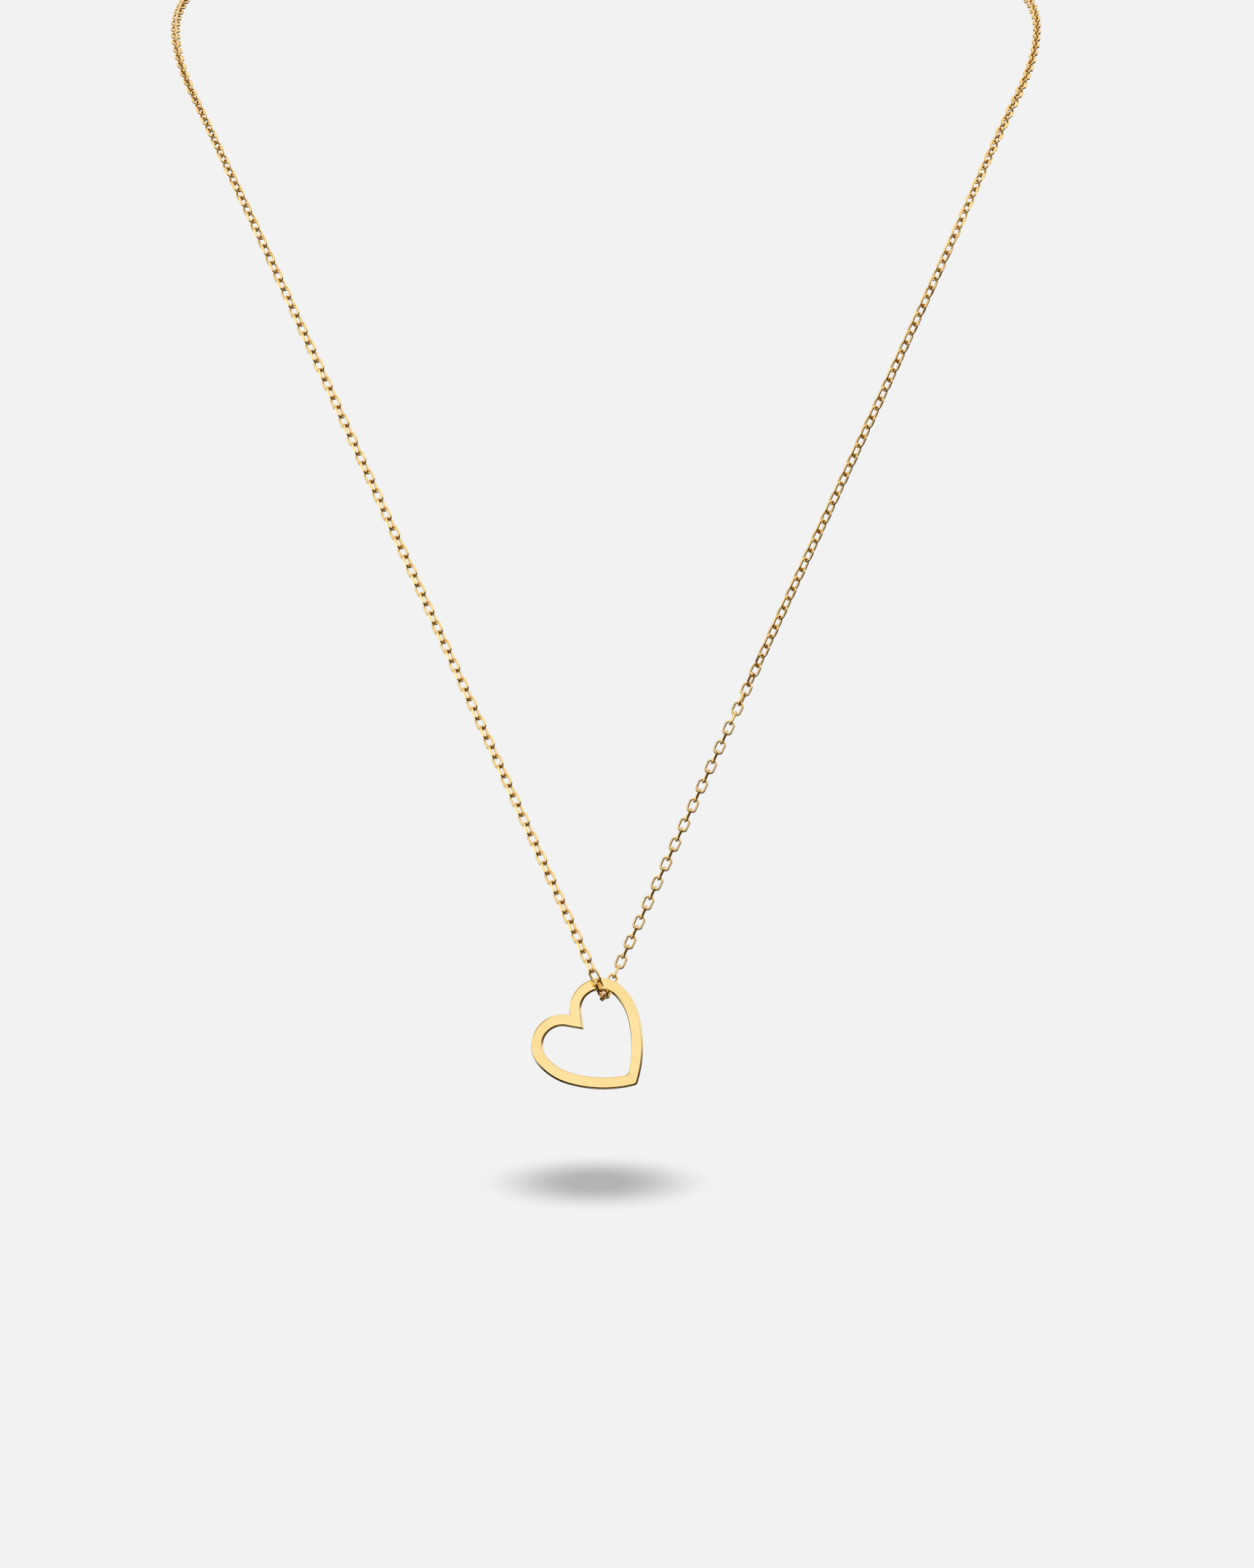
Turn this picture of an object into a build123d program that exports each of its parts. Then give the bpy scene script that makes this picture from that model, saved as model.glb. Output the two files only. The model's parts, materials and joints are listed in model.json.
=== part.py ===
from build123d import *
import os
from math import acos, asin, atan2, cos, degrees, hypot, pi, radians, sin, sqrt, tan

# Fine anchor chain necklace with an open heart that hangs straight on the chain by one lobe.
# Millimetres, +Z up, +X to the viewer's right, the viewer in front on -Y.
# The origin is the nape, where the necklace hangs, at the middle of the clasp.

# Chain links: round wire bent to a long oval, with a flat cut along each long side
WIRE = 0.22
LINK_LENGTH = 1.75
LINK_WIDTH = 1.10
FLAT_DEPTH = 0.04
LINK_GAP = 0.13
PITCH = LINK_LENGTH - 2 * WIRE - LINK_GAP

# The V in front: two straight strands in a plane whose top leans back
STRAND_LINKS = 64
LEFT_ANGLE = 24.0
RIGHT_ANGLE = 24.6
LEAN = 16.0
DROP = 126.0
FRONT_REACH = 108.0

# The bend of the chain round the heart's band. The lowest link is turned, its front end to the left.
HOOK_TURN = 8.0
HOOK_ROOM = 0.03
HOOK_SAG = 0.09

# The links up from the lowest one, the same on both sides, in degrees:
# angle to the side, tilt out of the plane, turn about the link's length
BEND = [
    (14.6, 47.4, 9.9),
    (27.9, 30.3, 17.8),
    (24.1, 14.2, 22.3),
]

# Turn of each strand's links above the bend, and how many links it takes to get there
LEFT_TURN = 35.0
RIGHT_TURN = -7.0
TURN_LINKS = 4
UPPER_TURN = 45.0
UPPER_TURN_FROM = 28
UPPER_TURN_LINKS = 8

# Heart: a flat band of even width round an open heart, its edges well rounded.
# Each side is three arcs, lobe, shoulder and side, that meet at the given angles above level.
LOBE_RADIUS = 3.35
LOBE_SPREAD = 5.70
SHOULDER_RADIUS = 6.50
SHOULDER_FROM = 2.5
SIDE_RADIUS = 13.45
SIDE_FROM = -29.0
BAND = 1.23
THICKNESS = 0.90
CLEFT_DEPTH = 2.06
TIP_ROUND = 0.50
INNER_TIP_ROUND = 0.60
EDGE_ROUND = 0.20
TILT = 43.8
CONTACT_TURN = 9.9
HANG_GAP = 0.13

# Clasp: a plain ring with a soldered eye on each side
RING_RADIUS = 2.20
RING_WIRE = 1.10
EYE_RADIUS = 0.62
EYE_WIRE = 0.40
CATCH_LENGTH = 0.90
CATCH_WIDTH = 0.70
CATCH_ABOVE = 0.45
CHAIN_END_GAP = 0.12

# Route of the chain from the right strand up round the neck, mirrored on the left.
# It starts with LEAD_IN straight on from the strand and ends at the clasp's eye.
# Each corner is an arc that takes ARC_SHARE of the shorter run beside it.
LEAD_IN = 15.0
ARC_SHARE = 0.45
ROUTE = [
    (44.5, -74.0, -32.0),
    (50.5, -57.0, -21.5),
    (52.0, -38.0, -13.5),
    (47.5, -20.5, -8.0),
    (37.0, -7.5, -4.0),
    (20.5, -0.8, -1.2),
]

os.makedirs("parts", exist_ok=True)

# The plane of the V and the heart: x to the right, y up along the lean, z to the viewer
lean = radians(LEAN)
v_plane = Plane(
    origin=(0, -FRONT_REACH, -DROP),
    x_dir=(1, 0, 0),
    z_dir=(0, -cos(lean), sin(lean)),
)
toward_viewer = v_plane.z_dir

# One link, lying along X with its flats facing +Y and -Y
crown_radius = (LINK_WIDTH - WIRE) / 2
crown_centre = (LINK_LENGTH - WIRE) / 2 - crown_radius
with BuildPart() as link:
    with BuildLine() as loop:
        Line((-crown_centre, crown_radius), (crown_centre, crown_radius))
        ThreePointArc(
            (crown_centre, crown_radius),
            (crown_centre + crown_radius, 0),
            (crown_centre, -crown_radius),
        )
        Line((crown_centre, -crown_radius), (-crown_centre, -crown_radius))
        ThreePointArc(
            (-crown_centre, -crown_radius),
            (-crown_centre - crown_radius, 0),
            (-crown_centre, crown_radius),
        )
    with BuildSketch(Plane(origin=loop.line @ 0, z_dir=loop.line % 0)):
        Circle(WIRE / 2)
    sweep()
    Box(2 * LINK_LENGTH, LINK_WIDTH - 2 * FLAT_DEPTH, 2 * WIRE, mode=Mode.INTERSECT)


def in_v(x, y, z=0.0):
    """A point of the V's plane, z in front of it, in the part's frame."""
    return v_plane.from_local_coords(Vector(x, y, z))


def along_v(side, angle, tilt, toward):
    """Unit vector up a strand: angle to its side, tilt out of the plane to the front or back."""
    across, up = sin(radians(angle)) * cos(radians(tilt)), cos(radians(angle)) * cos(radians(tilt))
    return in_v(side * across, up, toward * sin(radians(tilt))) - in_v(0, 0)


def link_place(middle, up, roll):
    """Where a link lies: its middle, its long axis and its turn about it from facing the viewer."""
    facing = (toward_viewer - up * toward_viewer.dot(up)).normalized()
    return Plane(origin=middle, x_dir=up, z_dir=facing.rotate(Axis((0, 0, 0), up), -roll))


def strand_turn(side, number):
    """Turn of a link above the bend, counted up from the lowest link: the right strand turns once more."""
    settled = min((number - len(BEND) + 1) / TURN_LINKS, 1)
    upper = min(max((number - UPPER_TURN_FROM) / UPPER_TURN_LINKS, 0), 1)
    bend_turn = BEND[-1][-1]
    if side < 0:
        return bend_turn + (LEFT_TURN - bend_turn) * settled
    return bend_turn + (RIGHT_TURN - bend_turn) * settled + UPPER_TURN * upper


# The lowest link stands in the heart's opening and points front to back.
# hook_reach is how far from its middle the next link's end lies in it.
link_reach = (LINK_LENGTH - WIRE) / 2
hook_reach = link_reach - (WIRE + LINK_GAP) - HOOK_ROOM
hook_aside, hook_out = hook_reach * sin(radians(HOOK_TURN)), hook_reach * cos(radians(HOOK_TURN))


def strand(side):
    """Places of one strand's links up from the lowest link, and the strand's end and direction."""
    toward = -side
    strand_angle = LEFT_ANGLE if side < 0 else RIGHT_ANGLE
    places = []
    joint = in_v(side * hook_aside, -HOOK_SAG, toward * hook_out)
    to_middle = link_reach
    for number, (angle, tilt, turn) in enumerate(BEND):
        up = along_v(side, angle, tilt, toward)
        places.append(link_place(joint + up * to_middle, up, 90 * (number % 2) + turn))
        joint += up * (to_middle + PITCH / 2)
        to_middle = PITCH / 2
    straight = STRAND_LINKS - len(BEND)
    back = degrees(asin(toward * v_plane.to_local_coords(joint).Z / (straight * PITCH)))
    up = along_v(side, strand_angle, -back, toward)
    for number in range(len(BEND), STRAND_LINKS):
        turn = 90 * (number % 2) + strand_turn(side, number)
        places.append(link_place(joint + up * PITCH / 2, up, turn))
        joint += up * PITCH
    return places, joint, up


left_places, left_end, left_up = strand(-1)
right_places, right_end, right_up = strand(1)
hook_back = in_v(sin(radians(HOOK_TURN)), 0, -cos(radians(HOOK_TURN))) - in_v(0, 0)
hook_across = in_v(cos(radians(HOOK_TURN)), 0, sin(radians(HOOK_TURN))) - in_v(0, 0)
hook_place = Plane(origin=in_v(0, 0), x_dir=hook_back, z_dir=hook_across)

# Chain in front: loose interlocked links, the hook link and both strands
with BuildPart() as chain_front:
    with Locations(*[place.location for place in [hook_place, *left_places, *right_places]]):
        add(link.part)


def tube_route(side, end, up):
    """The chain's line from a strand's end to the clasp's eye on that side."""
    start = end + up * ((LINK_LENGTH - PITCH) / 2 + CHAIN_END_GAP)
    eye_end = RING_RADIUS + RING_WIRE / 2 + 2 * EYE_RADIUS + EYE_WIRE / 2 + CHAIN_END_GAP
    hidden = [Vector(side * x, y, z) for x, y, z in ROUTE]
    return [start, start + up * LEAD_IN, *hidden, Vector(side * eye_end, 0, 0)]


def bend_radii(points):
    """The largest arc that the two runs at each corner allow."""
    radii = []
    for before, corner, after in zip(points, points[1:], points[2:]):
        turn = (corner - before).get_angle(after - corner)
        shorter = min((corner - before).length, (after - corner).length)
        radii.append(ARC_SHARE * shorter / tan(radians(turn / 2)))
    return radii


left_route = tube_route(-1, left_end, left_up)
right_route = tube_route(1, right_end, right_up)
left_radii, right_radii = bend_radii(left_route), bend_radii(right_route)

# Chain behind: the stretch round the neck as one tube on each side, of the links' width
with BuildPart() as chain_back:
    with BuildLine() as left_line:
        FilletPolyline(*left_route, radius=left_radii)
    with BuildSketch(Plane(origin=left_line.line @ 0, z_dir=left_line.line % 0)):
        Circle(LINK_WIDTH / 2)
    sweep(path=left_line.line)
    with BuildLine() as right_line:
        FilletPolyline(*right_route, radius=right_radii)
    with BuildSketch(Plane(origin=right_line.line @ 0, z_dir=right_line.line % 0)):
        Circle(LINK_WIDTH / 2)
    sweep(path=right_line.line)

# The heart in its own plane: the cleft at the top of its axis is the sketch's origin
def next_centre(centre, radius, next_radius, angle):
    """Centre of the arc that runs on smoothly from another one at an angle round it."""
    back = next_radius - radius
    return (centre[0] - back * cos(radians(angle)), centre[1] - back * sin(radians(angle)))


lobe_across = LOBE_SPREAD / 2
lobe_up = -sqrt(LOBE_RADIUS**2 - lobe_across**2)
lobe_centre = (lobe_across, lobe_up)
shoulder_centre = next_centre(lobe_centre, LOBE_RADIUS, SHOULDER_RADIUS, SHOULDER_FROM)
side_centre = next_centre(shoulder_centre, SHOULDER_RADIUS, SIDE_RADIUS, SIDE_FROM)


def on_arc(centre, radius, angle):
    """A point of an arc at an angle above level."""
    return (centre[0] + radius * cos(radians(angle)), centre[1] + radius * sin(radians(angle)))


def arc_between(centre, radius, start, end):
    """Adds the arc round a centre from one angle to another."""
    ThreePointArc(
        on_arc(centre, radius, start),
        on_arc(centre, radius, (start + end) / 2),
        on_arc(centre, radius, end),
    )


def heart_half(inset):
    """The right half of the outline, moved in by inset: cleft, lobe, shoulder and side to the tip."""
    if inset:
        cleft = (0, -CLEFT_DEPTH)
        from_cleft = hypot(lobe_across, lobe_up + CLEFT_DEPTH)
        lobe_from = 90 + degrees(
            atan2(lobe_up + CLEFT_DEPTH, lobe_across) + asin((LOBE_RADIUS - inset) / from_cleft)
        )
        Line(cleft, on_arc(lobe_centre, LOBE_RADIUS - inset, lobe_from))
    else:
        lobe_from = degrees(atan2(-lobe_up, -lobe_across))
    tip = -degrees(acos(-side_centre[0] / (SIDE_RADIUS - inset)))
    arc_between(lobe_centre, LOBE_RADIUS - inset, lobe_from, SHOULDER_FROM)
    arc_between(shoulder_centre, SHOULDER_RADIUS - inset, SHOULDER_FROM, SIDE_FROM)
    arc_between(side_centre, SIDE_RADIUS - inset, SIDE_FROM, tip)


def heart_sketch(inset, tip_round, mode=Mode.ADD):
    """The whole heart outline as a face, its tip rounded."""
    with BuildSketch(mode=Mode.PRIVATE) as face:
        with BuildLine():
            heart_half(inset)
            mirror(about=Plane.YZ)
        make_face()
        fillet(face.vertices().sort_by(Axis.Y)[0], tip_round)
    add(face.sketch, mode=mode)


# The heart hangs so that its right lobe's band lies just above the hook link
contact = radians(90 - CONTACT_TURN)
inner_lobe = LOBE_RADIUS - BAND
lobe_place = (
    -inner_lobe * cos(contact),
    LINK_WIDTH / 2 + HANG_GAP - inner_lobe * sin(contact),
)
tilt = radians(TILT)
cleft_place = (
    lobe_place[0] - lobe_across * cos(tilt) + lobe_up * sin(tilt),
    lobe_place[1] - lobe_across * sin(tilt) - lobe_up * cos(tilt),
)
heart_plane = Plane(
    origin=in_v(*cleft_place),
    x_dir=in_v(cos(tilt), sin(tilt)) - in_v(0, 0),
    z_dir=toward_viewer,
)

with BuildPart() as heart_pendant:
    with BuildSketch(heart_plane) as band:
        heart_sketch(0, TIP_ROUND)
        heart_sketch(BAND, INNER_TIP_ROUND, mode=Mode.SUBTRACT)
    extrude(amount=THICKNESS / 2, both=True)
    flat_faces = heart_pendant.faces().filter_by(Axis(heart_plane.origin, heart_plane.z_dir))
    fillet(flat_faces.edges(), EDGE_ROUND)

# Clasp at the nape: ring, two eyes and the small catch, soldered into one piece
with BuildPart() as clasp:
    with BuildSketch(Plane.XY):
        with Locations((RING_RADIUS, 0)):
            Circle(RING_WIRE / 2)
    revolve(axis=Axis.Y)
    eye_at = RING_RADIUS + RING_WIRE / 2 + EYE_RADIUS
    for eye_side in (-1, 1):
        with BuildSketch(Plane.XY):
            with Locations((eye_side * (eye_at + EYE_RADIUS), 0)):
                Circle(EYE_WIRE / 2)
        revolve(axis=Axis((eye_side * eye_at, 0, 0), (0, 1, 0)))
    with BuildSketch(Plane.XZ.offset(-CATCH_WIDTH / 2)):
        with Locations((0, RING_RADIUS + RING_WIRE / 2)):
            SlotOverall(CATCH_LENGTH + CATCH_ABOVE, CATCH_LENGTH)
    extrude(amount=CATCH_WIDTH)

chain_front.part.label = "chain_front"
chain_back.part.label = "chain_back"
heart_pendant.part.label = "heart_pendant"
clasp.part.label = "clasp"
export_step(chain_front.part, "parts/chain_front.step")
export_step(chain_back.part, "parts/chain_back.step")
export_step(heart_pendant.part, "parts/heart_pendant.step")
export_step(clasp.part, "parts/clasp.step")

tube_length = left_line.wires()[0].length + right_line.wires()[0].length
section = pi * LINK_WIDTH**2 / 4
print("pitch", round(PITCH, 3), "links in front", len(chain_front.part.solids()))
print("radii left", [round(r, 1) for r in left_radii])
print("radii right", [round(r, 1) for r in right_radii])
print("tube volume over section and length", round(chain_back.part.volume / (section * tube_length), 4))
print("whole loop", round(tube_length + 2 * (hook_reach + link_reach + (STRAND_LINKS - 0.5) * PITCH), 1))
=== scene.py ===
import json
import logging
from dataclasses import dataclass, field
from enum import Enum
from math import asin, atan2, cos, degrees, hypot, pi, radians, sin, sqrt
from typing import Optional, Union

import bpy
import numpy as np
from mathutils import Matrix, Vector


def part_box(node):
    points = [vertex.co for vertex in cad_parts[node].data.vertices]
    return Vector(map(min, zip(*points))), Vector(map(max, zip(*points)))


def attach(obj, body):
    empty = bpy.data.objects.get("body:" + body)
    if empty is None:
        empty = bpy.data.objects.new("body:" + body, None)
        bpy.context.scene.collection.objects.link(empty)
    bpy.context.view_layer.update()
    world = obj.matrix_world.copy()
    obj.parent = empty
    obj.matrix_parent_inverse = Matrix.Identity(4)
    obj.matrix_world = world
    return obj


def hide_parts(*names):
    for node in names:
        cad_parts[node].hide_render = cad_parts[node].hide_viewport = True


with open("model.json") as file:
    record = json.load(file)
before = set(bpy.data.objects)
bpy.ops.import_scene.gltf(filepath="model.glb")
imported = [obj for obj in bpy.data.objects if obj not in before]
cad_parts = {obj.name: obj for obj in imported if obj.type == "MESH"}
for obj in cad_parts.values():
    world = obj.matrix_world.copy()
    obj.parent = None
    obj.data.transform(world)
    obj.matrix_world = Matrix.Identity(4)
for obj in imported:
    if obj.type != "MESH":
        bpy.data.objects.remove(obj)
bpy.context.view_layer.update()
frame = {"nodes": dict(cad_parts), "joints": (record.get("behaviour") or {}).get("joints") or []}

# Fine gold anchor chain necklace with an open heart. Sizes are in millimetres and meshes in metres.
MM = 0.001
LOG = logging.getLogger("necklace")

# The picture's frame and its scale at the lowest link, in pixels
PICTURE_WIDTH = 1724
PICTURE_HEIGHT = 2156
PIXELS_PER_MM = 12.75
LOWEST_LINK_PIXEL = (830.5, 1369.8)

# Faces that meet at a sharper angle than this keep a hard edge, in degrees
SHARP_ANGLE = 34.0

Number = Union[int, float]


def unit(vector: np.ndarray) -> np.ndarray:
    """The vector at length one."""
    return vector / np.linalg.norm(vector)


def turned(vector: np.ndarray, axis: np.ndarray, angle: float) -> np.ndarray:
    """A vector turned about a unit axis.

    Args:
        vector: what is turned.
        axis: unit axis of the turn.
        angle: degrees, right handed.

    Returns:
        The turned vector.
    """
    across = np.cross(axis, vector)
    along = axis * axis.dot(vector)
    return along + (vector - along) * cos(radians(angle)) + across * sin(radians(angle))


class Math(Enum):
    """Operations of the Math and Vector Math nodes."""

    ADD = "ADD"
    SUBTRACT = "SUBTRACT"
    MULTIPLY = "MULTIPLY"
    DIVIDE = "DIVIDE"


class Signal:
    """One output socket of a shader graph that can be used in arithmetic."""

    def __init__(self, graph: "Graph", socket: bpy.types.NodeSocket) -> None:
        """Wraps a socket of a graph."""
        self.graph = graph
        self.socket = socket

    def _work(self, operation: Math, left: "Term", right: "Term") -> "Signal":
        """Adds the node for one operation: Vector Math for vectors, Math for numbers.

        Args:
            operation: what is done.
            left: the first value.
            right: the second value.

        Returns:
            The result.
        """
        of_vectors = self.socket.type == "VECTOR"
        kind = "ShaderNodeVectorMath" if of_vectors else "ShaderNodeMath"
        output = "Vector" if of_vectors else "Value"
        return self.graph.node(kind, {"operation": operation.value}, {0: left, 1: right}, output)

    def __add__(self, other: "Term") -> "Signal":
        """self + other."""
        return self._work(Math.ADD, self, other)

    def __radd__(self, other: "Term") -> "Signal":
        """other + self."""
        return self._work(Math.ADD, other, self)

    def __sub__(self, other: "Term") -> "Signal":
        """self - other."""
        return self._work(Math.SUBTRACT, self, other)

    def __rsub__(self, other: "Term") -> "Signal":
        """other - self."""
        return self._work(Math.SUBTRACT, other, self)

    def __mul__(self, other: "Term") -> "Signal":
        """self * other."""
        return self._work(Math.MULTIPLY, self, other)

    def __rmul__(self, other: "Term") -> "Signal":
        """other * self."""
        return self._work(Math.MULTIPLY, other, self)

    def __truediv__(self, other: "Term") -> "Signal":
        """self / other."""
        return self._work(Math.DIVIDE, self, other)

    def __rtruediv__(self, other: "Term") -> "Signal":
        """other / self."""
        return self._work(Math.DIVIDE, other, self)


Term = Union[Signal, Number, tuple]
Key = Union[str, int]


class Graph:
    """A node tree that is built from Python expressions."""

    def __init__(self, tree: bpy.types.NodeTree) -> None:
        """Starts from an empty tree."""
        self.tree = tree
        self.tree.nodes.clear()

    def node(
        self, kind: str, settings: dict[str, str], inputs: dict[Key, Term], output: Key = 0
    ) -> Optional[Signal]:
        """Adds one node: its settings first, then its sockets.

        Args:
            kind: the node's type.
            settings: its properties by name.
            inputs: a value or a Signal for each socket, by name, identifier or number.
            output: the output that is wanted.

        Returns:
            The wanted output as a Signal, and None for a node that has no output.
        """
        made = self.tree.nodes.new(kind)
        for name, value in settings.items():
            setattr(made, name, value)
        for key, value in inputs.items():
            socket = self._find(made.inputs, key)
            if isinstance(value, Signal):
                self.tree.links.new(value.socket, socket)
            else:
                socket.default_value = value
        return Signal(self, self._find(made.outputs, output)) if made.outputs else None

    def mix(self, share: Term, first: Term, second: Term) -> Signal:
        """A colour between two: share 0 gives the first and 1 the second."""
        sockets = {"Factor_Float": share, "A_Color": first, "B_Color": second}
        return self.node("ShaderNodeMix", {"data_type": "RGBA"}, sockets, "Result_Color")

    def noise(self, place: Signal, size: float, detail: float, roughness: float) -> Signal:
        """Noise whose clouds are about size millimetres across."""
        sockets = {"Vector": place, "Scale": 1 / (size * MM), "Detail": detail, "Roughness": roughness}
        return self.node("ShaderNodeTexNoise", {}, sockets, "Fac")

    def rise(
        self, value: Term, low: float, high: float, to_low: float = 0.0, to_high: float = 1.0
    ) -> Signal:
        """A smooth step of value from low to high, given as to_low to to_high."""
        sockets = {"Value": value, "From Min": low, "From Max": high, "To Min": to_low, "To Max": to_high}
        return self.node("ShaderNodeMapRange", {"interpolation_type": "SMOOTHSTEP"}, sockets, "Result")

    @staticmethod
    def _find(sockets: bpy.types.bpy_prop_collection, key: Key) -> bpy.types.NodeSocket:
        """Looks a socket up.

        Args:
            sockets: a node's inputs or outputs.
            key: the socket's number, identifier or name.

        Returns:
            The socket.
        """
        if isinstance(key, int):
            return sockets[key]
        for socket in sockets:
            if socket.identifier == key:
                return socket
        return sockets[key]


class Wear(Enum):
    """How a gold surface has been finished."""

    CUT = "cut"
    POLISHED = "polished"
    CAST = "cast"


@dataclass(frozen=True)
class GoldFinish:
    """Polished yellow gold: its two close tints, its gloss and its fine marks."""

    name: str
    wear: Wear
    tint: tuple[float, float, float] = (0.990, 0.770, 0.365)
    deep_tint: tuple[float, float, float] = (0.975, 0.725, 0.310)
    rough: float = 0.10
    rough_spread: float = 0.05
    cut_rough: float = 0.04
    # dark brown painted on the inner side of the links' ends: a painted shade where the links meet
    painted_shade_tint: tuple[float, float, float] = (0.55, 0.27, 0.05)
    cloud_size: float = 2.4
    cloud_detail: float = 3.0
    cloud_breakup: float = 0.55
    cloud_from: float = 0.34
    cloud_to: float = 0.66
    mark_size: float = 0.05
    mark_detail: float = 2.0
    mark_breakup: float = 0.6
    mark_depth: float = 0.0006
    mark_strength: float = 0.25
    drawn_share: float = 0.12
    rough_by_cloud: float = 0.6
    rough_by_mark: float = 0.4
    rough_middle: float = 0.3

    def material(self) -> bpy.types.Material:
        """Builds the finish as a material.

        Returns:
            The material, its colour, roughness and marks varied over the surface.
        """
        made = bpy.data.materials.new(self.name)
        made.use_nodes = True
        graph = Graph(made.node_tree)
        place = graph.node("ShaderNodeTexCoord", {}, {}, "Object")
        clouds = graph.noise(place, self.cloud_size, self.cloud_detail, self.cloud_breakup)
        cloudy = graph.rise(clouds, self.cloud_from, self.cloud_to)
        colour = graph.mix(cloudy, (*self.tint, 1.0), (*self.deep_tint, 1.0))
        marks = self._marks(graph, place)
        uneven = cloudy * self.rough_by_cloud + marks * self.rough_by_mark - self.rough_middle
        rough = self.rough + self.rough_spread * uneven
        if self.wear is Wear.CUT:
            cut = graph.node("ShaderNodeAttribute", {"attribute_name": "cut"}, {}, "Fac")
            rough = rough * (1 - cut) + self.cut_rough * cut
            # painted shade: the inner side of each link's ends, where the next link sits, is mixed toward
            # a dark brown
            inner = graph.node("ShaderNodeAttribute", {"attribute_name": "inner"}, {}, "Fac")
            colour = graph.mix(inner, colour, (*self.painted_shade_tint, 1.0))
        relief = {"Strength": self.mark_strength, "Distance": self.mark_depth * MM, "Height": marks}
        bump = graph.node("ShaderNodeBump", {}, relief, "Normal")
        gold = {"Base Color": colour, "Metallic": 1.0, "Roughness": rough, "Normal": bump}
        surface = graph.node("ShaderNodeBsdfPrincipled", {}, gold, "BSDF")
        graph.node("ShaderNodeOutputMaterial", {}, {"Surface": surface})
        return made

    def _marks(self, graph: Graph, place: Signal) -> Signal:
        """Fine polishing marks: drawn out upright on polished sheet, grainy on wire and castings.

        Args:
            graph: the material's graph.
            place: the object's own coordinates.

        Returns:
            The marks' height, 0 to 1.
        """
        upright = self.drawn_share if self.wear is Wear.POLISHED else 1.0
        stretch = {"Vector": place, "Scale": (1.0, 1.0, upright)}
        drawn = graph.node("ShaderNodeMapping", {}, stretch, "Vector")
        return graph.noise(drawn, self.mark_size, self.mark_detail, self.mark_breakup)


@dataclass(frozen=True)
class Leaning:
    """The plane of the V and the heart: x to the viewer's right, y up along the lean, z to the viewer."""

    origin: np.ndarray
    toward_viewer: np.ndarray

    @classmethod
    def from_joint(cls, joint: dict) -> "Leaning":
        """The plane through the pendant's joint, square to its axis."""
        return cls(np.array(joint["pos_m"]) / MM, unit(np.array(joint["axis"], float)))

    @property
    def right(self) -> np.ndarray:
        """The viewer's right."""
        return np.array([1.0, 0.0, 0.0])

    @property
    def up(self) -> np.ndarray:
        """Up along the lean."""
        return np.cross(self.toward_viewer, self.right)

    def direction(self, x: float, y: float, z: float = 0.0) -> np.ndarray:
        """A direction given in the plane's axes."""
        return x * self.right + y * self.up + z * self.toward_viewer

    def point(self, x: float, y: float, z: float = 0.0) -> np.ndarray:
        """A point given in the plane's axes."""
        return self.origin + self.direction(x, y, z)

    def depth(self, point: np.ndarray) -> float:
        """How far a point stands in front of the plane."""
        return float((point - self.origin).dot(self.toward_viewer))


def mesh_piece(name: str, points: np.ndarray, faces: np.ndarray, finish: GoldFinish) -> bpy.types.Object:
    """Makes a smooth mesh piece with a material, its sharp edges kept.

    Args:
        name: the piece's name.
        points: its corners in millimetres.
        faces: four corner numbers a face.
        finish: the gold that it is dressed in.

    Returns:
        The new object, in the scene and at the origin.
    """
    mesh = bpy.data.meshes.new(name)
    mesh.vertices.add(len(points))
    mesh.vertices.foreach_set("co", (points * MM).astype(np.float32).ravel())
    mesh.loops.add(faces.size)
    mesh.loops.foreach_set("vertex_index", faces.astype(np.int32).ravel())
    mesh.polygons.add(len(faces))
    mesh.polygons.foreach_set("loop_start", np.arange(0, faces.size, 4, dtype=np.int32))
    mesh.update(calc_edges=True)
    mesh.shade_smooth()
    mesh.set_sharp_from_angle(angle=radians(SHARP_ANGLE))
    mesh.materials.append(finish.material())
    piece = bpy.data.objects.new(name, mesh)
    bpy.context.scene.collection.objects.link(piece)
    LOG.info("%s: %d faces", name, len(faces))
    return piece


@dataclass(frozen=True)
class LinkPlace:
    """Where one link lies: its middle, its long axis, the way its broad side faces and how dark its inner
    ends are painted, a painted shade where the links meet.
    """

    middle: np.ndarray
    along: np.ndarray
    facing: np.ndarray
    painted_shade: float = 1.0


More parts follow.
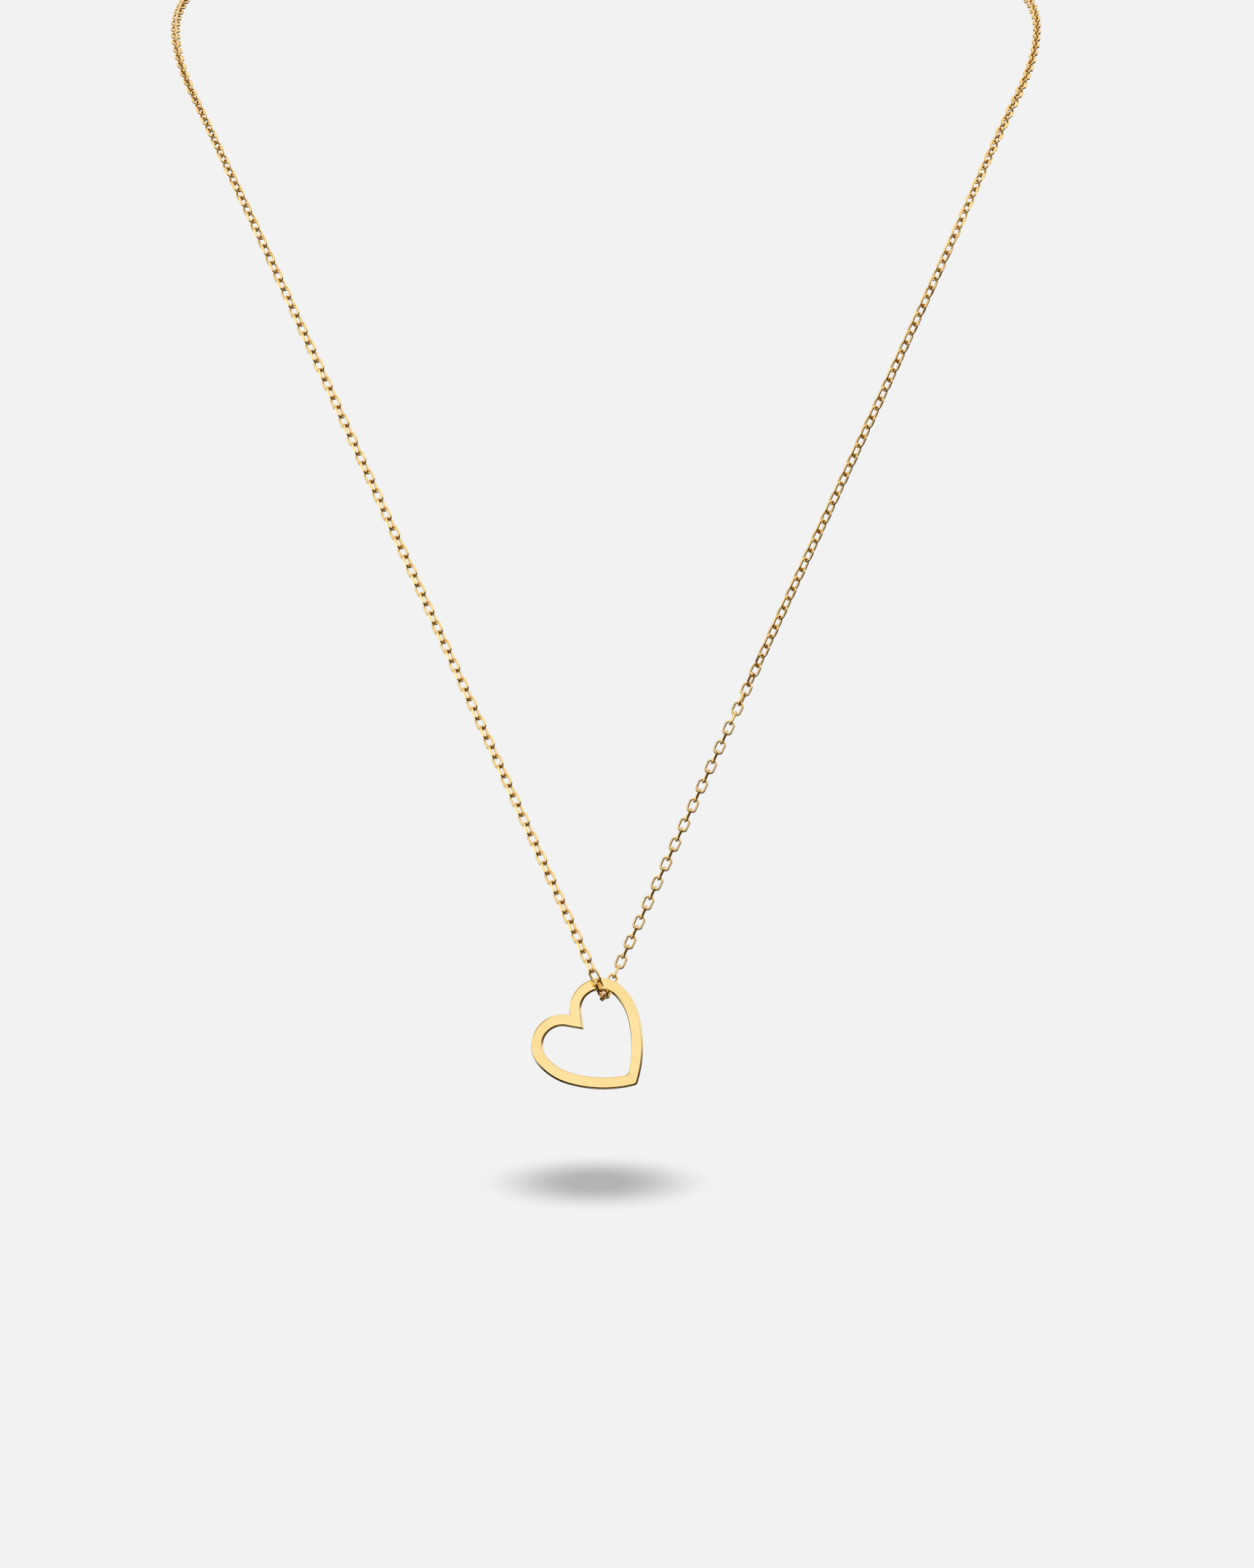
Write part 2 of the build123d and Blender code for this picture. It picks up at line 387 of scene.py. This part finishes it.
@dataclass(frozen=True)
class Link:
    """One oval link of round wire with a flat cut along both long sides."""

    wire: float = 0.28
    length: float = 1.74
    width: float = 1.24
    flat_depth: float = 0.05
    pitch: float = 1.18
    sides: int = 12
    flat_end: float = 22.0
    # how the painted shade on the inner side of the wire grows toward the link's ends
    least_flat: float = 6.0
    painted_shade_gain: float = 1.6
    painted_shade_from: float = 0.2
    flat_steps: int = 4
    round_steps: int = 6

    @property
    def reach(self) -> float:
        """From the link's middle to the middle of its wire at an end."""
        return (self.length - self.wire) / 2

    @property
    def overlap(self) -> float:
        """Between the wires' middles where two links hold each other."""
        return 2 * self.reach - self.pitch

    @property
    def crown(self) -> float:
        """Radius of the wire's middle line round an end."""
        return (self.width - self.wire) / 2

    def stations(self) -> list[tuple[float, float]]:
        """The middle line's stations, closest where the cut sides run out.

        Returns:
            For each, its place along the straight sides and its turn round the link.
        """
        straight = self.reach - self.crown
        in_flat = self.flat_end * np.sin(np.linspace(0, pi / 2, self.flat_steps + 1)[1:])
        past_flat = np.linspace(self.flat_end, 90, self.round_steps + 1)[1:]
        quarter = [0.0, *in_flat, *past_flat]
        half = [*quarter, *[180 - turn for turn in reversed(quarter[:-1])]]
        first = [(straight, 90 - turn) for turn in half]
        second = [(-straight, -90 - turn) for turn in half]
        return [*first, (0.0, -90.0), *second, (0.0, 90.0)]

    def flat_half_angle(self, turn: float) -> float:
        """How wide the cut is at a turn round the link.

        Args:
            turn: degrees round the link, 90 and -90 at its cut sides.

        Returns:
            Half the angle of the wire's section that the cut takes, least_flat where there is no cut.
        """
        height = abs(sin(radians(turn)))
        limit = self.width / 2 - self.flat_depth
        uncut = (self.crown + self.wire / 2) * height <= limit
        if uncut:
            return self.least_flat
        share = (limit / height - self.crown) / (self.wire / 2)
        return max(degrees(np.arccos(share)), self.least_flat)

    def form(self) -> tuple[np.ndarray, np.ndarray, dict[str, np.ndarray]]:
        """The link's mesh, lying along x with its cut sides at +y and -y.

        Returns:
            Its points, its faces and, for each point, 1 on the cut sides and 1 on the inner side of the
            ends where the next link sits, for a painted shade there.
        """
        stations = self.stations()
        points, cut, inner = [], [], []
        for middle, turn in stations:
            out = np.array([cos(radians(turn)), sin(radians(turn)), 0.0])
            centre = np.array([middle, 0.0, 0.0]) + self.crown * out
            half = self.flat_half_angle(turn)
            # painted shade: strongest on the inner side of the wire round the ends, where the next link
            # sits
            at_end = max(abs(out[0]) * self.painted_shade_gain - self.painted_shade_from, 0.0)
            for angle in np.linspace(half, 360 - half, self.sides):
                outward = cos(radians(angle))
                offset = out * outward + np.array([0.0, 0.0, sin(radians(angle))])
                points.append(centre + self.wire / 2 * offset)
                inner.append(at_end * max(-outward, 0.0))
            is_cut = half > self.least_flat
            cut.extend([is_cut, *[False] * (self.sides - 2), is_cut])
        marks = {"cut": np.array(cut, float), "inner": np.clip(inner, 0.0, 1.0)}
        return np.array(points), ring_faces(len(stations), self.sides), marks


def ring_faces(stations: int, sides: int) -> np.ndarray:
    """Faces of a closed tube.

    Args:
        stations: how many sections it has, the last one joined to the first.
        sides: how many points each section has.

    Returns:
        Four point numbers a face.
    """
    row, column = np.meshgrid(np.arange(stations), np.arange(sides), indexing="ij")
    next_row, next_column = (row + 1) % stations, (column + 1) % sides
    corners = [row * sides + column, row * sides + next_column,
               next_row * sides + next_column, next_row * sides + column]
    return np.stack(corners, axis=-1).reshape(-1, 4)


@dataclass
class ChainLength:
    """A stretch of chain: one link's form repeated at a list of places and joined into one mesh."""

    name: str
    replaces: str
    link: Link
    finish: GoldFinish
    places: list[LinkPlace] = field(default_factory=list)

    def build(self) -> bpy.types.Object:
        """Builds the joined mesh and ties it to the necklace's body.

        Returns:
            The chain's object.
        """
        local, faces, marks = self.link.form()
        points, all_faces = [], []
        for number, place in enumerate(self.places):
            side = np.cross(place.facing, place.along)
            turn = np.stack([place.along, side, place.facing])
            points.append(place.middle + local @ turn)
            all_faces.append(faces + number * len(local))
        piece = mesh_piece(self.name, np.concatenate(points), np.concatenate(all_faces), self.finish)
        # how strongly each link gets the painted shade on its inner ends
        painted_shade = np.repeat([place.painted_shade for place in self.places], len(local))
        for name, values in marks.items():
            mark = piece.data.attributes.new(name, "FLOAT", "POINT")
            share = painted_shade if name == "inner" else 1.0
            mark.data.foreach_set("value", (np.tile(values, len(self.places)) * share).astype(np.float32))
        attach(piece, "necklace")
        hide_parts(self.replaces)
        return piece


@dataclass(frozen=True)
class BendLink:
    """How a link of the bend stands: angle to its side, tilt out of the plane, turn about its length."""

    angle: float
    tilt: float
    turn: float


@dataclass(frozen=True)
class BendSide:
    """One side of the bend: where its first link's end lies in the lowest link, and its links."""

    aside: float
    reach: float
    sag: float
    links: tuple[BendLink, ...]


@dataclass
class Bend:
    """The turn of the chain round the heart's band, at the bottom of the V."""

    hook_turn: float = 8.0
    hook_roll: float = -40.0
    # a lighter painted shade on the inner ends of the bend's links
    painted_shade: float = 0.15
    left: BendSide = BendSide(0.107, 0.416, 0.072, (
        BendLink(29.3, 58.7, 34.6),
        BendLink(28.0, 37.4, 40.4),
        BendLink(27.5, 16.6, 34.7),
    ))
    right: BendSide = BendSide(-0.079, 0.436, 0.055, (
        BendLink(16.9, 48.9, 1.2),
        BendLink(21.6, 41.0, -5.7),
        BendLink(27.0, 20.4, -3.9),
    ))

    def on(self, side: int) -> BendSide:
        """Its left side for -1 and its right one for 1."""
        return self.left if side < 0 else self.right


@dataclass
class FrontChain:
    """The two straight strands of the V and the link at its bottom that carries the heart."""

    plane: Leaning
    link: Link
    bend: Bend
    links: int = 64
    left_angle: float = 24.0
    right_angle: float = 24.6
    left_turn: float = 35.0
    right_turn: float = -7.0
    turn_links: int = 3
    upper_turn: float = 45.0
    upper_from: int = 28
    upper_links: int = 8

    def turn_of(self, side: int, number: int) -> float:
        """How far a link of a strand is turned from facing the viewer, before its quarter turns.

        Args:
            side: -1 for the left strand and 1 for the right one.
            number: the link's number from the bend up.

        Returns:
            Degrees about the link's length.
        """
        links = self.bend.on(side).links
        start = links[-1].turn
        settled = min((number - len(links) + 1) / self.turn_links, 1)
        upper = min(max((number - self.upper_from) / self.upper_links, 0), 1)
        if side < 0:
            return start + (self.left_turn - start) * settled
        return start + (self.right_turn - start) * settled + self.upper_turn * upper

    def place(self, middle: np.ndarray, along: np.ndarray, turn: float, painted_shade: float = 1.0) -> LinkPlace:
        """Places a link that is turned from facing the viewer.

        Args:
            middle: the link's middle.
            along: its direction.
            turn: degrees about its length.
            painted_shade: how dark its inner ends are painted, a painted shade where the links meet.

        Returns:
            The link's place.
        """
        out = self.plane.toward_viewer
        facing = unit(out - along * along.dot(out))
        return LinkPlace(middle, along, turned(facing, along, -turn), painted_shade)

    def hook(self) -> LinkPlace:
        """The lowest link, rolled in the heart's opening.

        Returns:
            Its place, its front end turned aside.
        """
        angle = radians(self.bend.hook_turn)
        along = self.plane.direction(sin(angle), 0, -cos(angle))
        across = self.plane.direction(cos(angle), 0, sin(angle))
        roll = radians(self.bend.hook_roll)
        facing = across * cos(roll) + self.plane.up * sin(roll)
        return LinkPlace(self.plane.point(0, 0), along, facing, self.bend.painted_shade)

    def strand(self, side: int) -> tuple[list[LinkPlace], np.ndarray]:
        """One strand from the bend up.

        Args:
            side: -1 for the left strand, which leaves the bend in front, and 1 for the right one.

        Returns:
            Its links' places and the joint at its end.
        """
        bend, link, plane = self.bend.on(side), self.link, self.plane
        turn = radians(self.bend.hook_turn)
        joint = plane.point(
            side * bend.reach * sin(turn) + bend.aside, -bend.sag, -side * bend.reach * cos(turn)
        )
        places = []
        step_back = link.reach
        for number, stand in enumerate(bend.links):
            angle, tilt = radians(side * stand.angle), radians(stand.tilt)
            along = plane.direction(sin(angle) * cos(tilt), cos(angle) * cos(tilt), -side * sin(tilt))
            middle = joint + along * step_back
            places.append(self.place(middle, along, 90 * (number % 2) + stand.turn, self.bend.painted_shade))
            joint = middle + along * link.pitch / 2
            step_back = link.pitch / 2
        strand_angle = self.left_angle if side < 0 else self.right_angle
        straight = self.links - len(bend.links)
        back = degrees(asin(plane.depth(joint) / (straight * link.pitch)))
        along = plane.direction(
            side * sin(radians(strand_angle)) * cos(radians(back)),
            cos(radians(strand_angle)) * cos(radians(back)),
            -sin(radians(back)),
        )
        for number in range(len(bend.links), self.links):
            turn = 90 * (number % 2) + self.turn_of(side, number)
            places.append(self.place(joint + along * link.pitch / 2, along, turn))
            joint = joint + along * link.pitch
        return places, joint


@dataclass
class NeckChain:
    """The chain behind, from the end of each strand up round the neck to the clasp."""

    link: Link
    lead_in: float = 15.6
    eye_joint: float = 3.775
    points_a_stretch: int = 48
    route: tuple[tuple[float, float, float], ...] = (
        (44.5, -74.0, -32.0),
        (50.5, -57.0, -21.5),
        (52.0, -38.0, -13.5),
        (47.5, -20.5, -8.0),
        (37.0, -7.5, -4.0),
        (20.5, -0.8, -1.2),
    )

    def line(self, side: int, start: np.ndarray, along: np.ndarray) -> np.ndarray:
        """Points of the smooth line that one side follows.

        Args:
            side: -1 for the left and 1 for the right.
            start: the joint at the strand's end.
            along: the strand's direction there.

        Returns:
            Close points along the line, from the strand to the clasp's eye.
        """
        hidden = [np.array([side * x, y, z]) for x, y, z in self.route]
        eye = np.array([side * self.eye_joint, 0.0, 0.0])
        control = [start, start + along * self.lead_in, *hidden, eye]
        curve = bpy.data.curves.new("neck_route", "CURVE")
        curve.dimensions = "3D"
        spline = curve.splines.new("NURBS")
        spline.points.add(len(control) - 1)
        for point, place in zip(spline.points, control):
            point.co = (*place, 1.0)
        spline.order_u = 3
        spline.use_endpoint_u = True
        spline.resolution_u = self.points_a_stretch
        holder = bpy.data.objects.new("neck_route", curve)
        bpy.context.scene.collection.objects.link(holder)
        mesh = bpy.data.meshes.new_from_object(holder)
        points = np.array([vertex.co for vertex in mesh.vertices])
        bpy.data.objects.remove(holder)
        bpy.data.curves.remove(curve)
        bpy.data.meshes.remove(mesh)
        return points

    def places(self, side: int, start: np.ndarray, last: LinkPlace) -> list[LinkPlace]:
        """Places of the links behind on one side.

        Args:
            side: -1 for the left and 1 for the right.
            start: the joint at the strand's end.
            last: the strand's last link, which the first link behind hangs in.

        Returns:
            The places, each link a quarter turn from the one before, and the last one level in the eye.
        """
        points = self.line(side, start, last.along)
        steps = np.linalg.norm(np.diff(points, axis=0), axis=1)
        length = np.concatenate([[0.0], np.cumsum(steps)])
        count = round(length[-1] / self.link.pitch)
        reached = np.linspace(0, length[-1], count + 1)
        joints = np.stack([np.interp(reached, length, points[:, axis]) for axis in range(3)], axis=1)
        carried, facing = [], last.facing
        for before, after in zip(joints, joints[1:]):
            along = unit(after - before)
            facing = unit(facing - along * along.dot(facing))
            carried.append((0.5 * (before + after), along, facing))
        middle, along, facing = carried[-1]
        facing = turned(facing, along, 90 * count)
        up = np.array([0.0, 0.0, 1.0])
        level = unit(up - along * along.dot(up))
        rest = degrees(atan2(np.cross(facing, level).dot(along), facing.dot(level)))
        rest = (rest + 90) % 180 - 90
        return [
            LinkPlace(middle, along, turned(facing, along, 90 * number + rest * number / count))
            for number, (middle, along, facing) in enumerate(carried, start=1)
        ]


@dataclass(frozen=True)
class Arc:
    """One arc of the heart's outline: its middle, its radius and the angle where it ends."""

    x: float
    y: float
    radius: float
    end: float

    def run_on(self, radius: float, end: float) -> "Arc":
        """The arc of another radius that runs on smoothly from this one's end."""
        back, turn = radius - self.radius, radians(self.end)
        return Arc(self.x - back * cos(turn), self.y - back * sin(turn), radius, end)

    def at(self, angle: float, inset: float = 0.0) -> tuple[float, float, float, float]:
        """A point of the arc.

        Args:
            angle: degrees round the arc's middle.
            inset: how far inside the arc it lies.

        Returns:
            Its x and y, and the arc's outward direction there.
        """
        across, up = cos(radians(angle)), sin(radians(angle))
        radius = self.radius - inset
        return self.x + radius * across, self.y + radius * up, across, up


@dataclass
class OpenHeart:
    """The flat open heart: a band of even width, its edges rounded by polishing."""

    plane: Leaning
    finish: GoldFinish
    lobe_radius: float = 3.35
    lobe_spread: float = 5.70
    shoulder_radius: float = 6.50
    shoulder_from: float = 2.5
    side_radius: float = 13.45
    side_from: float = -29.0
    band: float = 1.23
    thickness: float = 0.90
    cleft_depth: float = 2.06
    tip_round: float = 0.50
    inner_tip_round: float = 0.60
    edge_round: float = 0.20
    tilt: float = 43.8
    contact_turn: float = 9.9
    hang_gap: float = 0.13
    link_width: float = 1.10
    steps: int = 48
    tip_steps: int = 11
    edge_steps: int = 9
    face_rows: tuple[float, float] = (2.2, 1.2)
    wall_rows: tuple[float, float] = (0.9, 0.3)

    @property
    def lobe(self) -> Arc:
        """The right lobe's arc, from the cleft."""
        across = self.lobe_spread / 2
        return Arc(across, -sqrt(self.lobe_radius**2 - across**2), self.lobe_radius, self.shoulder_from)

    def half_outline(self, inset: float, tip_round: float) -> np.ndarray:
        """The right half of the band's edge from the cleft to the tip.

        Args:
            inset: how far inside the outer outline it lies.
            tip_round: radius of its rounded tip.

        Returns:
            One row a point: x, y, and the edge's outward direction, longer at the cleft's corner.
        """
        lobe = self.lobe
        shoulder = lobe.run_on(self.shoulder_radius, self.side_from)
        side = shoulder.run_on(self.side_radius, -90.0)
        if inset:
            from_cleft = hypot(lobe.x, lobe.y + self.cleft_depth)
            rise = asin((lobe.radius - inset) / from_cleft)
            first = 90 + degrees(atan2(lobe.y + self.cleft_depth, lobe.x) + rise)
            corner = (0.0, -self.cleft_depth)
            turns = np.linspace(first, lobe.end, self.steps)
        else:
            first = degrees(atan2(-lobe.y, -lobe.x))
            corner = (0.0, 0.0)
            turns = np.linspace(first, lobe.end, self.steps + 1)[1:]
        to_tip = side.radius - inset - tip_round
        tip_y = side.y - sqrt(to_tip**2 - side.x**2)
        last = degrees(atan2(tip_y - side.y, -side.x))
        tip = Arc(0.0, tip_y, tip_round, -90.0)
        rows = [(*corner, 0.0, 1 / sin(radians(first)))]
        rows += [lobe.at(turn, inset) for turn in turns]
        rows += [shoulder.at(turn, inset) for turn in np.linspace(lobe.end, shoulder.end, self.steps)[1:]]
        rows += [side.at(turn, inset) for turn in np.linspace(shoulder.end, last, self.steps)[1:]]
        rows += [tip.at(turn) for turn in np.linspace(last, tip.end, self.tip_steps + 1)[1:]]
        return np.array(rows)

    def outline(self, inset: float, tip_round: float) -> np.ndarray:
        """The band's whole edge, the right half and its mirror image.

        Args:
            inset: how far inside the outer outline it lies.
            tip_round: radius of its rounded tip.

        Returns:
            One closed run of rows, as in half_outline.
        """
        right = self.half_outline(inset, tip_round)
        left = right[-2:0:-1] * np.array([-1, 1, -1, 1])
        return np.concatenate([right, left])

    def edge_profile(self) -> list[tuple[float, float]]:
        """Half of the band's section, from its face over the edge to its back.

        Returns:
            For each point, its distance into the metal and its height.
        """
        half, edge = self.thickness / 2, self.edge_round
        face = [(edge * share, half) for share in self.face_rows]
        arc = [(edge - edge * sin(turn), half - edge + edge * cos(turn))
               for turn in np.linspace(0, pi / 2, self.edge_steps + 1)]
        wall = [(0.0, (half - edge) * share) for share in self.wall_rows]
        upper = [*face, *arc, *wall]
        return [*upper, *[(depth, -height) for depth, height in reversed(upper)]]

    def place(self) -> tuple[np.ndarray, np.ndarray, np.ndarray]:
        """Hangs the heart on the lowest link.

        Returns:
            The point of its cleft, and its own x and y directions.
        """
        contact = radians(90 - self.contact_turn)
        inner = self.lobe_radius - self.band
        tilt = radians(self.tilt)
        across, up = self.lobe.x, self.lobe.y
        lobe_x = -inner * cos(contact)
        lobe_y = self.link_width / 2 + self.hang_gap - inner * sin(contact)
        cleft = self.plane.point(
            lobe_x - across * cos(tilt) + up * sin(tilt),
            lobe_y - across * sin(tilt) - up * cos(tilt),
        )
        x_way = self.plane.direction(cos(tilt), sin(tilt))
        y_way = self.plane.direction(-sin(tilt), cos(tilt))
        return cleft, x_way, y_way

    def build(self) -> bpy.types.Object:
        """Builds the band round the opening and ties it to the pendant's body.

        Returns:
            The heart's object.
        """
        outer = self.outline(0.0, self.tip_round)
        inner = self.outline(self.band, self.inner_tip_round)
        cleft, x_way, y_way = self.place()
        z_way = self.plane.toward_viewer
        columns = []
        for depth, height in self.edge_profile():
            columns.append((outer[:, :2] - outer[:, 2:] * depth, height))
        for depth, height in reversed(self.edge_profile()):
            columns.append((inner[:, :2] + inner[:, 2:] * depth, height))
        points = np.stack([
            cleft + flat[:, :1] * x_way + flat[:, 1:] * y_way + height * z_way for flat, height in columns
        ], axis=1)
        faces = ring_faces(len(outer), len(columns))
        piece = mesh_piece("open_heart", points.reshape(-1, 3), faces, self.finish)
        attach(piece, "pendant")
        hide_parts("heart_pendant")
        return piece


@dataclass
class Clasp:
    """The plain clasp at the nape, carried over from the model with its own gold."""

    finish: GoldFinish

    def build(self) -> bpy.types.Object:
        """Dresses the clasp.

        Returns:
            The clasp's object.
        """
        piece = frame["nodes"]["clasp"]
        piece.data.materials.clear()
        piece.data.materials.append(self.finish.material())
        LOG.info("clasp: %d faces", len(piece.data.polygons))
        return piece


@dataclass(frozen=True)
class Card:
    """A soft round card of light or shade far off: where it stands, its half angle and its brightness."""

    toward: tuple[float, float, float]
    half_angle: float
    softness: float
    level: float


@dataclass
class Studio:
    """The pale room: light from all round with its cards, the floor and the camera."""

    plane: Leaning
    backdrop: float = 0.888
    sky: float = 0.98
    ground: float = 0.03
    ground_from: float = -7.0
    sky_from: float = 4.0
    cards: tuple[Card, ...] = (
        # light in front, for the heart's face and the wire's front
        Card((0.0, -0.886, 0.462), 40.0, 14.0, 1.0),
        Card((0.0, -0.995, 0.0), 12.0, 5.0, 1.30),
        # shade at the left above, for the left sides of the right strand's wire
        Card((-0.557, -0.321, 0.766), 20.0, 5.0, 0.25),
        # shade from the front round to the right, for the right sides of the right strand's wire
        Card((0.276, -0.904, 0.326), 8.0, 2.0, 0.09),
        Card((0.669, -0.743, 0.0), 19.0, 4.0, 0.09),
        Card((0.957, -0.203, -0.208), 24.0, 6.0, 0.09),
        # shade behind, for the dark line under the heart's band
        Card((0.15, 0.98, -0.14), 24.0, 8.0, 0.06),
        # light at the left, for the left strand
        Card((-0.97, -0.20, -0.12), 26.0, 6.0, 1.15),
        # light low behind, for the heart's back
        Card((0.0, 0.62, -0.78), 12.0, 4.0, 0.85),
    )
    dim_tone: tuple[float, float, float] = (1.0, 0.55, 0.15)
    white_from: float = 0.7
    floor_below: float = 10.15
    floor_size: float = 6000.0
    # a painted shadow under the heart: its middle, its reach, its flat core and how much it darkens
    shade_centre: tuple[float, float] = (-0.8, -110.0)
    shade_reach: tuple[float, float] = (13.4, 19.4)
    shade_core: float = 0.16
    shade_depth: float = 0.49
    distance: float = 500.0
    nearest_seen: float = 10.0
    elevation: float = 4.5
    sensor: float = 36.0

    def light(self) -> None:
        """Makes the light from all round: a bright room above, a dark one below, and the cards."""
        world = bpy.data.worlds.new("studio")
        bpy.context.scene.world = world
        world.use_nodes = True
        graph = Graph(world.node_tree)
        toward = graph.node("ShaderNodeTexCoord", {}, {}, "Generated")
        toward = graph.node("ShaderNodeVectorMath", {"operation": "NORMALIZE"}, {0: toward}, "Vector")
        height = graph.node("ShaderNodeSeparateXYZ", {}, {0: toward}, "Z")
        low, high = sin(radians(self.ground_from)), sin(radians(self.sky_from))
        room = graph.rise(height, low, high, self.ground, self.sky)
        for card in self.cards:
            middle = tuple(unit(np.array(card.toward)))
            product = {"operation": "DOT_PRODUCT"}
            near = graph.node("ShaderNodeVectorMath", product, {0: toward, 1: middle}, "Value")
            rim = cos(radians(card.half_angle + card.softness))
            full = cos(radians(max(card.half_angle - card.softness, 0)))
            share = graph.rise(near, rim, full)
            room = room * (1 - share) + card.level * share
        seen = graph.node("ShaderNodeLightPath", {}, {}, "Is Camera Ray")
        level = room * (1 - seen) + self.backdrop * seen
        whiteness = graph.rise(level, 0.0, self.white_from)
        tone = graph.mix(whiteness, (*self.dim_tone, 1.0), (1.0, 1.0, 1.0, 1.0))
        light = graph.node("ShaderNodeBackground", {}, {"Color": tone, "Strength": level})
        graph.node("ShaderNodeOutputWorld", {}, {"Surface": light})

    def floor(self) -> None:
        """Lays the pale floor with a soft painted shadow under the heart."""
        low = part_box("heart_pendant")[0]
        half = self.floor_size / 2 * MM
        mesh = bpy.data.meshes.new("floor")
        corners = [(-half, -half, 0.0), (half, -half, 0.0), (half, half, 0.0), (-half, half, 0.0)]
        mesh.from_pydata(corners, [], [(0, 1, 2, 3)])
        mesh.materials.append(self.floor_paint())
        floor = bpy.data.objects.new("floor", mesh)
        floor.location = (0.0, 0.0, low.z - self.floor_below * MM)
        floor.visible_glossy = False
        floor.visible_diffuse = False
        bpy.context.scene.collection.objects.link(floor)

    def floor_paint(self) -> bpy.types.Material:
        """The floor's even pale colour, with a painted shadow: darker in a soft oval under the heart.

        Returns:
            The floor's material.
        """
        made = bpy.data.materials.new("floor")
        made.use_nodes = True
        graph = Graph(made.node_tree)
        place = graph.node("ShaderNodeTexCoord", {}, {}, "Object")
        centre = (self.shade_centre[0] * MM, self.shade_centre[1] * MM, 0.0)
        reach = (self.shade_reach[0] * MM, self.shade_reach[1] * MM, 1.0)
        away = (place - centre) / reach
        distance = graph.node("ShaderNodeVectorMath", {"operation": "LENGTH"}, {0: away}, "Value")
        # painted shadow: the level drops most in the oval's core and fades out at its reach
        level = self.backdrop * (1 - graph.rise(distance, self.shade_core, 1.0, self.shade_depth, 0.0))
        light = graph.node("ShaderNodeEmission", {}, {"Color": level, "Strength": 1.0})
        graph.node("ShaderNodeOutputMaterial", {}, {"Surface": light})
        return made

    def camera(self) -> None:
        """Sets the camera in front and slightly above, framed as the picture."""
        data = bpy.data.cameras.new("camera")
        data.sensor_width = self.sensor
        data.lens = self.sensor * self.distance * PIXELS_PER_MM / PICTURE_HEIGHT
        data.clip_start = self.nearest_seen * MM
        camera = bpy.data.objects.new("camera", data)
        angle = radians(self.elevation)
        look = np.array([0.0, cos(angle), -sin(angle)])
        up = np.array([0.0, sin(angle), cos(angle)])
        right_by = (PICTURE_WIDTH / 2 - LOWEST_LINK_PIXEL[0]) / PIXELS_PER_MM
        up_by = (LOWEST_LINK_PIXEL[1] - PICTURE_HEIGHT / 2) / PIXELS_PER_MM
        target = self.plane.origin + right_by * self.plane.right + up_by * up
        camera.location = (target - look * self.distance) * MM
        camera.rotation_euler = (pi / 2 - angle, 0.0, 0.0)
        bpy.context.scene.collection.objects.link(camera)
        bpy.context.scene.camera = camera
        bpy.context.scene.view_settings.view_transform = "Standard"


def main() -> None:
    """Builds the studio and every piece in order."""
    logging.basicConfig(level=logging.INFO, format="%(name)s: %(message)s")
    plane = Leaning.from_joint(frame["joints"][0])
    studio = Studio(plane)
    studio.camera()
    studio.light()
    studio.floor()
    chain_gold = GoldFinish(
        "chain_gold", Wear.CUT, tint=(0.990, 0.745, 0.330), deep_tint=(0.970, 0.680, 0.265),
        rough=0.20, rough_spread=0.06,
    )
    link = Link()
    front = FrontChain(plane, link, Bend())
    left, left_end = front.strand(-1)
    right, right_end = front.strand(1)
    front_places = [front.hook(), *left, *right]
    ChainLength("front_chain_links", "chain_front", link, chain_gold, front_places).build()
    neck = NeckChain(link)
    for side, name, strand, end in ((-1, "left", left, left_end), (1, "right", right, right_end)):
        behind = neck.places(side, end, strand[-1])
        ChainLength(f"neck_chain_{name}", "chain_back", link, chain_gold, behind).build()
    OpenHeart(plane, GoldFinish("heart_gold", Wear.POLISHED, rough=0.09, rough_spread=0.03)).build()
    Clasp(GoldFinish("clasp_gold", Wear.CAST, rough=0.12)).build()


if __name__ == "__main__":
    main()
